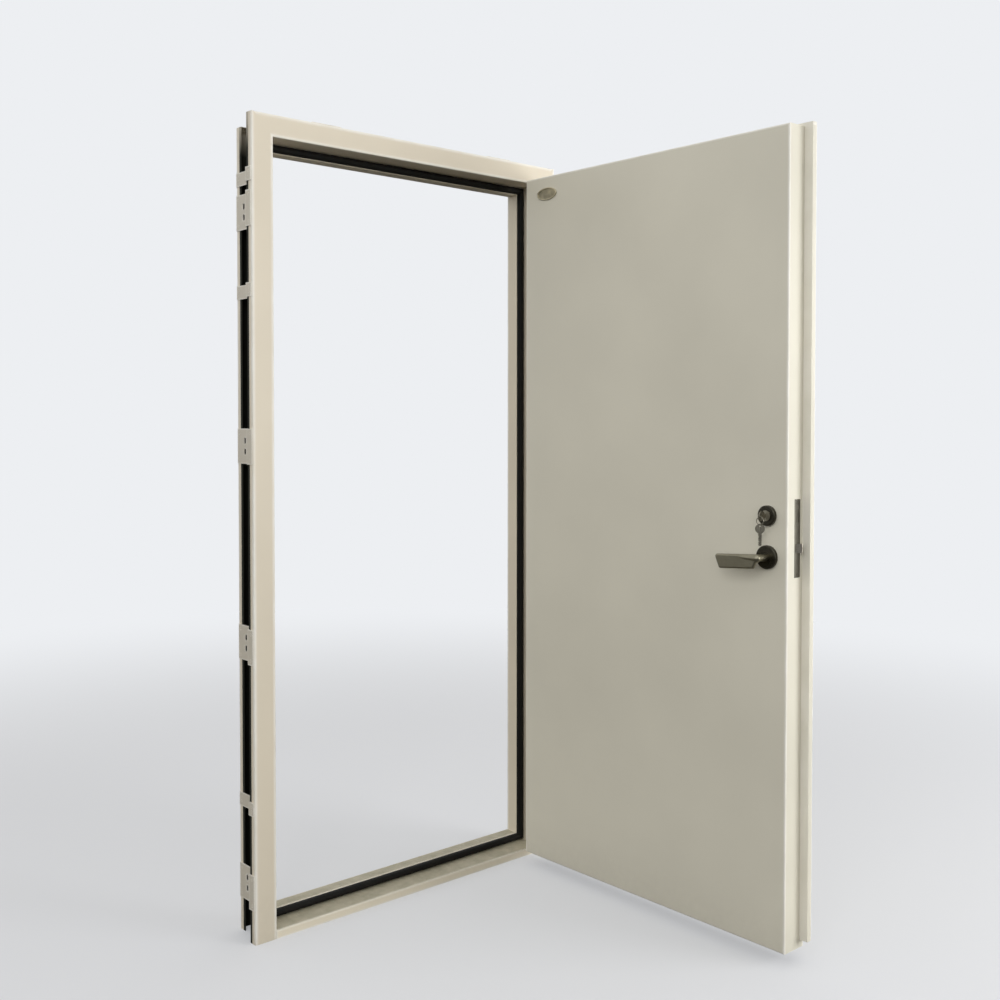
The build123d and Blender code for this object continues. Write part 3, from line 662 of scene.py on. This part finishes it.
class DOOR_OT_anchors(bpy.types.Operator):
    """Coat the straps and anchor plates and mark their spot welds"""

    bl_idname = "door.anchors"
    bl_label = "Anchors"

    def execute(self, context):
        finish, detail = context.scene.door_finish, context.scene.door_detail
        coat = baked_enamel("thin_coated_straps", finish.strap_colour)
        rows = ["left_anchor_plates", "right_anchor_plates", "left_straps", "right_straps"]
        dress(rows + ["head_anchor_plates", "sill_anchor_plate"], coat)
        # Welds are inset from a plate's upright edges and lie a rise above its foot or below its top. A level
        # that has another one above it within the limit is a foot
        inset, rise, limit, touch = 0.010, 0.012, 0.1, 1e-4
        places = []
        for name in rows:
            side = -1 if "left" in name else 1
            low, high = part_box(name)
            points = [v.co for v in nodes[name].data.vertices]
            levels = {round(p.z, 4) for p in points if abs(p.y - low.y) < touch}
            for flat_y, inward in ((low.y, inset), (high.y, -inset)):
                face = side * max(abs(p.x) for p in points if abs(p.y - flat_y) < touch)
                for level in sorted(levels):
                    upward = rise if any(level < z < level + limit for z in levels) else -rise
                    place = Vector((face, flat_y + inward, level + upward))
                    places.append((place, Vector((side, 0, 0))))
        tree = instancer("weld_spots", weld_spot)
        set_on_points(
            tree, places, "anchor_welds", "frame", coat, detail.weld_radius, detail.weld_height
        )
        return {"FINISHED"}


class DOOR_OT_seals(bpy.types.Operator):
    """Black rubber on the bulb seals"""

    bl_idname = "door.seals"
    bl_label = "Seals"

    def execute(self, context):
        dress(["left_seal", "right_seal", "head_seal", "sill_seal"], extruded_rubber("extruded_seal_rubber"))
        return {"FINISHED"}


class DOOR_OT_leaf(bpy.types.Operator):
    """Enamel the leaf's two pans and fill it with mineral wool"""

    bl_idname = "door.leaf"
    bl_label = "Leaf"

    def execute(self, context):
        paint = context.scene.door_finish.leaf_colour
        leaf_paint = baked_enamel("baked_enamel_leaf", paint, "leaf", wave=0.0004)
        dress(["leaf_back_pan", "leaf_front_pan"], leaf_paint)
        dress(["leaf_core"], mineral_wool("mineral_wool_slab"))
        return {"FINISHED"}


class DOOR_OT_hinges(bpy.types.Operator):
    """Enamel the hinges and put in their screws"""

    bl_idname = "door.hinges"
    bl_label = "Hinges"

    def execute(self, context):
        finish, detail = context.scene.door_finish, context.scene.door_detail
        places = ("bottom", "middle", "top")
        hinge_paint = baked_enamel("baked_enamel_hinges", finish.frame_colour)
        dress([f"{half}_hinge_{place}" for half in ("frame", "leaf") for place in places], hinge_paint)
        zinc = satin_metal("zinc_plated_screws", linear("#A9A69C"), 0.35)
        tree = instancer("hinge_screws", cross_screw_head)
        # Two screws up each wing, inset from the wing's outer edge, on the front of its thickness
        rises, frame_inset, leaf_inset, wing = (0.014, 0.046), 0.013, 0.011, 0.005
        for half in ("frame", "leaf"):
            spots = []
            for place in places:
                low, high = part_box(f"{half}_hinge_{place}")
                if half == "frame":
                    x, y, way = high.x - frame_inset, high.y - wing, Vector((0, -1, 0))
                else:
                    x, y, way = low.x + wing, low.y + leaf_inset, Vector((1, 0, 0))
                spots += [(Vector((x, y, low.z + rise)), way) for rise in rises]
            set_on_points(
                tree, spots, f"{half}_hinge_screws", half, zinc, detail.screw_radius,
                detail.screw_height,
            )
        return {"FINISHED"}


class DOOR_OT_lock(bpy.types.Operator):
    """Metal of the lock, its faceplate, bolts, strike and their screws"""

    bl_idname = "door.lock"
    bl_label = "Lock"

    def execute(self, context):
        finish, detail = context.scene.door_finish, context.scene.door_detail
        steel = satin_metal("satin_lock_steel", finish.steel_colour, 0.34, brush=(1.0, 1.0, 0.04))
        dress(["lock_faceplate", "strike_plate", "dead_bolt", "lever_spindle"], steel)
        polished = satin_metal("polished_latch_steel", linear("#A8A296"), 0.3, brush=(1.0, 0.1, 1.0))
        dress(["latch_bolt"], polished)
        tree = instancer("plate_screws", cross_screw_head)
        # Screws near the faceplate's two ends, and at the same heights in the strike
        inset = 0.009
        ends = (FACEPLATE_LOW.z + inset, FACEPLATE_HIGH.z - inset)
        plate_x = (FACEPLATE_LOW.x + FACEPLATE_HIGH.x) / 2
        strike_y = (STRIKE_LOW.y + STRIKE_HIGH.y) / 2
        for name, body, x, y, way in (
            ("faceplate_screws", "leaf", plate_x, FACEPLATE_LOW.y, Vector((0, -1, 0))),
            ("strike_screws", "frame", STRIKE_HIGH.x, strike_y, Vector((1, 0, 0))),
        ):
            spots = [(Vector((x, y, z)), way) for z in ends]
            set_on_points(
                tree, spots, name, body, steel, detail.screw_radius, detail.screw_height
            )
        return {"FINISHED"}


class DOOR_OT_furniture(bpy.types.Operator):
    """Metal of the levers, roses, cylinder and keys, and the keyway on the outside"""

    bl_idname = "door.furniture"
    bl_label = "Lock Furniture"

    def execute(self, context):
        finish = context.scene.door_finish
        nickel = satin_metal("dark_satin_nickel", finish.nickel_colour, 0.33, (1.0, 0.06, 1.0), stain=0.08)
        dress(["inside_lever", "outside_lever"], nickel)
        roses = satin_metal("dark_nickel_roses", finish.rose_colour, 0.3, (1.0, 1.0, 1.0))
        kinds = ("lever_rose", "cylinder_rose")
        dress([f"{side}_{kind}" for side in ("inside", "outside") for kind in kinds], roses)
        plated = satin_metal("plated_cylinder_brass", linear("#B5AF9D"), 0.4, (1.0, 1.0, 1.0))
        dress(["lock_cylinder", "cylinder_plug"], plated)
        dress(["key", "spare_key", "key_ring"], satin_metal("nickel_silver_keys", finish.key_colour, 0.25))
        # The plug's outside face is a disc with an upright keyway, its middle just out of the cylinder's end
        radius, thickness, stand, bevel = 0.008, 0.0012, 0.0004, 0.0002
        half_wide, half_tall = 0.0013, 0.004
        corners = ((-1, -1), (1, -1), (1, 1), (-1, 1))
        keyway = [(x * half_wide, y * half_tall) for x, y in corners]
        middle = (CYLINDER_LOW + CYLINDER_HIGH) / 2
        turn = Euler((math.pi / 2, 0, math.pi / 2)).to_matrix().to_4x4()
        placing = Matrix.Translation((CYLINDER_HIGH.x + stand, middle.y, middle.z)) @ turn
        outlines = [ellipse(radius, radius, 48), keyway]
        mesh = flat_plate("outside_plug_face", outlines, thickness, bevel, placing)
        mesh.materials.append(plated)
        settle(mesh, "outside_plug_face", "leaf")
        return {"FINISHED"}


class DOOR_OT_blank_plate(bpy.types.Operator):
    """Small oval plate, left blank, near the leaf's top hinge corner"""

    bl_idname = "door.blank_plate"
    bl_label = "Blank Plate"

    def execute(self, context):
        detail = context.scene.door_detail
        thickness, plate_bevel, rim_bevel = 0.0016, 0.0004, 0.0005
        turn = Euler((math.pi / 2, 0, -math.pi / 2)).to_matrix().to_4x4()
        placing = Matrix.Translation(
            (LEAF_LOW.x - thickness / 2, LEAF_HIGH.y - detail.plate_inset, LEAF_HIGH.z - detail.plate_drop)
        ) @ turn
        half_width, half_height = detail.plate_width / 2, detail.plate_height / 2
        mesh = flat_plate("blank_plate", [ellipse(half_width, half_height)], thickness, plate_bevel, placing)
        bronze = satin_metal("stained_plate_bronze", linear("#CDC5AA"), 0.42, (1.0, 0.05, 1.0), stain=0.4)
        mesh.materials.append(bronze)
        settle(mesh, "blank_plate", "leaf")
        rim = detail.plate_rim
        outlines = [ellipse(half_width, half_height), ellipse(half_width - rim, half_height - rim)]
        raised = Matrix.Translation((-thickness, 0, 0)) @ placing
        mesh = flat_plate("blank_plate_rim", outlines, thickness, rim_bevel, raised)
        # The rim's paler polished bronze is partly a painted highlight round the plate
        polished = satin_metal("rim_bronze_painted_highlight", linear("#E6DDC0"), 0.3, brush=(1.0, 1.0, 1.0))
        mesh.materials.append(polished)
        settle(mesh, "blank_plate_rim", "leaf")
        return {"FINISHED"}


class DOOR_OT_stage(bpy.types.Operator):
    """Pale floor, soft studio light and the camera"""

    bl_idname = "door.stage"
    bl_label = "Stage"

    def execute(self, context):
        scene, stage = context.scene, context.scene.door_stage
        scene.view_settings.view_transform = "Standard"
        self.add_floor(scene, stage)
        self.light_world(scene, stage)
        self.add_lamp(scene, "fill_lamp", (-2.6, -2.2, 3.0), (0.3, -0.8, 1.1), stage.fill_power, 1.0)
        self.add_lamp(scene, "key_lamp", (2.2, -3.7, 1.45), (0.1, -0.5, 1.1), stage.key_power, 2.2)
        self.add_camera(scene, stage)
        return {"FINISHED"}

    def add_floor(self, scene, stage):
        """A wide floor that keeps the door's shadow and fades into the background far away."""
        mesh = bpy.data.meshes.new("studio_floor")
        span, near, far, least = 40.0, 1.5, 5.0, 0.35
        corners = [(-span, -span, 0), (span, -span, 0), (span, span, 0), (-span, span, 0)]
        mesh.from_pydata(corners, [], [(0, 1, 2, 3)])
        floor = bpy.data.objects.new("studio_floor", mesh)
        scene.collection.objects.link(floor)
        material, tree, place = new_material("studio_floor")
        reach = add_node(tree, "ShaderNodeVectorMath", {0: place}, operation="LENGTH")
        fade = add_node(
            tree, "ShaderNodeMapRange", {"Value": reach.outputs["Value"], 1: near, 2: far, 3: least, 4: 1.0},
            interpolation_type="SMOOTHSTEP",
        )
        # Reflections see the pale floor only faintly, so that undersides stay dark
        seen = self.seen_directly(tree, mirrored=0.12)
        pale = add_node(tree, "ShaderNodeBsdfDiffuse", {"Color": rgba(linear("#DCDDE0"))})
        bright = add_node(tree, "ShaderNodeEmission", {"Color": rgba(stage.floor_colour), "Strength": 1.0})
        shown = self.mix_shaders(tree, fade.outputs[0], pale, bright)
        bounce = add_node(tree, "ShaderNodeBsdfDiffuse", {"Color": rgba(linear("#3A3834"))})
        close_material(tree, self.mix_shaders(tree, seen, bounce, shown))
        mesh.materials.append(material)

    def seen_directly(self, tree, mirrored):
        """1 for what the camera sees, the given share for reflections and glass, and 0 for other light."""
        path = add_node(tree, "ShaderNodeLightPath").outputs
        through = combine(tree, "MAXIMUM", path["Is Glossy Ray"], path["Is Transmission Ray"])
        return combine(tree, "MAXIMUM", path["Is Camera Ray"], combine(tree, "MULTIPLY", through, mirrored))

    def mix_shaders(self, tree, factor, first, second):
        """A mix of two shader nodes, the first one where the factor is 0."""
        return add_node(tree, "ShaderNodeMixShader", {0: factor, 1: first.outputs[0], 2: second.outputs[0]})

    def light_world(self, scene, stage):
        """Soft sky light, and the pale background wherever the camera or a reflection sees it."""
        world = bpy.data.worlds.new("studio_world")
        scene.world = world
        world.use_nodes = True
        tree = world.node_tree
        tree.nodes.clear()
        way = add_node(tree, "ShaderNodeTexCoord").outputs["Generated"]
        upward = add_node(tree, "ShaderNodeSeparateXYZ", {0: way}).outputs["Z"]
        # Stronger from the sides than from overhead
        level = combine(tree, "MULTIPLY", spread(tree, upward, 0.0, 1.0, 1.25, 0.35), stage.sky_strength)
        sky = add_node(tree, "ShaderNodeBackground", {"Color": (1.0, 0.99, 0.97, 1.0), "Strength": level})
        pale = add_node(tree, "ShaderNodeBackground", {"Color": rgba(stage.floor_colour), "Strength": 1.0})
        mixed = self.mix_shaders(tree, self.seen_directly(tree, mirrored=1.0), sky, pale)
        add_node(tree, "ShaderNodeOutputWorld", {"Surface": mixed.outputs[0]})

    def add_lamp(self, scene, name, place, target, power, size):
        """One square area lamp aimed at a point."""
        light = bpy.data.lights.new(name, "AREA")
        light.energy = power
        light.size = size
        lamp = bpy.data.objects.new(name, light)
        lamp.location = place
        lamp.rotation_euler = (Vector(target) - Vector(place)).to_track_quat("-Z", "Y").to_euler()
        scene.collection.objects.link(lamp)

    def add_camera(self, scene, stage):
        """The camera at the door's left front, a little above the lock."""
        camera = bpy.data.cameras.new("studio_camera")
        camera.lens = stage.lens
        camera.sensor_width = 36.0
        # The fitted view lies a little off the lens's axis
        camera.shift_x = 0.0136
        camera.shift_y = -0.0481
        view = bpy.data.objects.new("studio_camera", camera)
        view.location = stage.camera_place
        view.rotation_euler = (math.pi / 2 + stage.camera_pitch, 0.0, -stage.camera_yaw)
        scene.collection.objects.link(view)
        scene.camera = view


class DOOR_PT_panel(bpy.types.Panel):
    """The door's pieces and settings in the sidebar"""

    bl_idname = "DOOR_PT_panel"
    bl_label = "Soundproof Door"
    bl_space_type = "VIEW_3D"
    bl_region_type = "UI"
    bl_category = "Door"

    def draw(self, context):
        for operator in OPERATORS:
            self.layout.operator(operator.bl_idname)
        for group in (context.scene.door_finish, context.scene.door_detail, context.scene.door_stage):
            box = self.layout.box()
            for name in group.__annotations__:
                box.prop(group, name)


GROUPS = {"door_finish": DoorFinish, "door_detail": DoorDetail, "door_stage": DoorStage}
OPERATORS = (
    DOOR_OT_frame, DOOR_OT_anchors, DOOR_OT_seals, DOOR_OT_leaf, DOOR_OT_hinges, DOOR_OT_lock,
    DOOR_OT_furniture, DOOR_OT_blank_plate, DOOR_OT_stage,
)


def register():
    for name, group in GROUPS.items():
        bpy.utils.register_class(group)
        setattr(bpy.types.Scene, name, bpy.props.PointerProperty(type=group))
    for item in (*OPERATORS, DOOR_PT_panel):
        bpy.utils.register_class(item)


def unregister():
    for item in (DOOR_PT_panel, *reversed(OPERATORS)):
        bpy.utils.unregister_class(item)
    for name, group in GROUPS.items():
        delattr(bpy.types.Scene, name)
        bpy.utils.unregister_class(group)


def main():
    """Dress the door piece by piece."""
    register()
    bpy.ops.door.frame()
    bpy.ops.door.anchors()
    bpy.ops.door.seals()
    bpy.ops.door.leaf()
    bpy.ops.door.hinges()
    bpy.ops.door.lock()
    bpy.ops.door.furniture()
    bpy.ops.door.blank_plate()
    bpy.ops.door.stage()


if __name__ == "__main__":
    main()
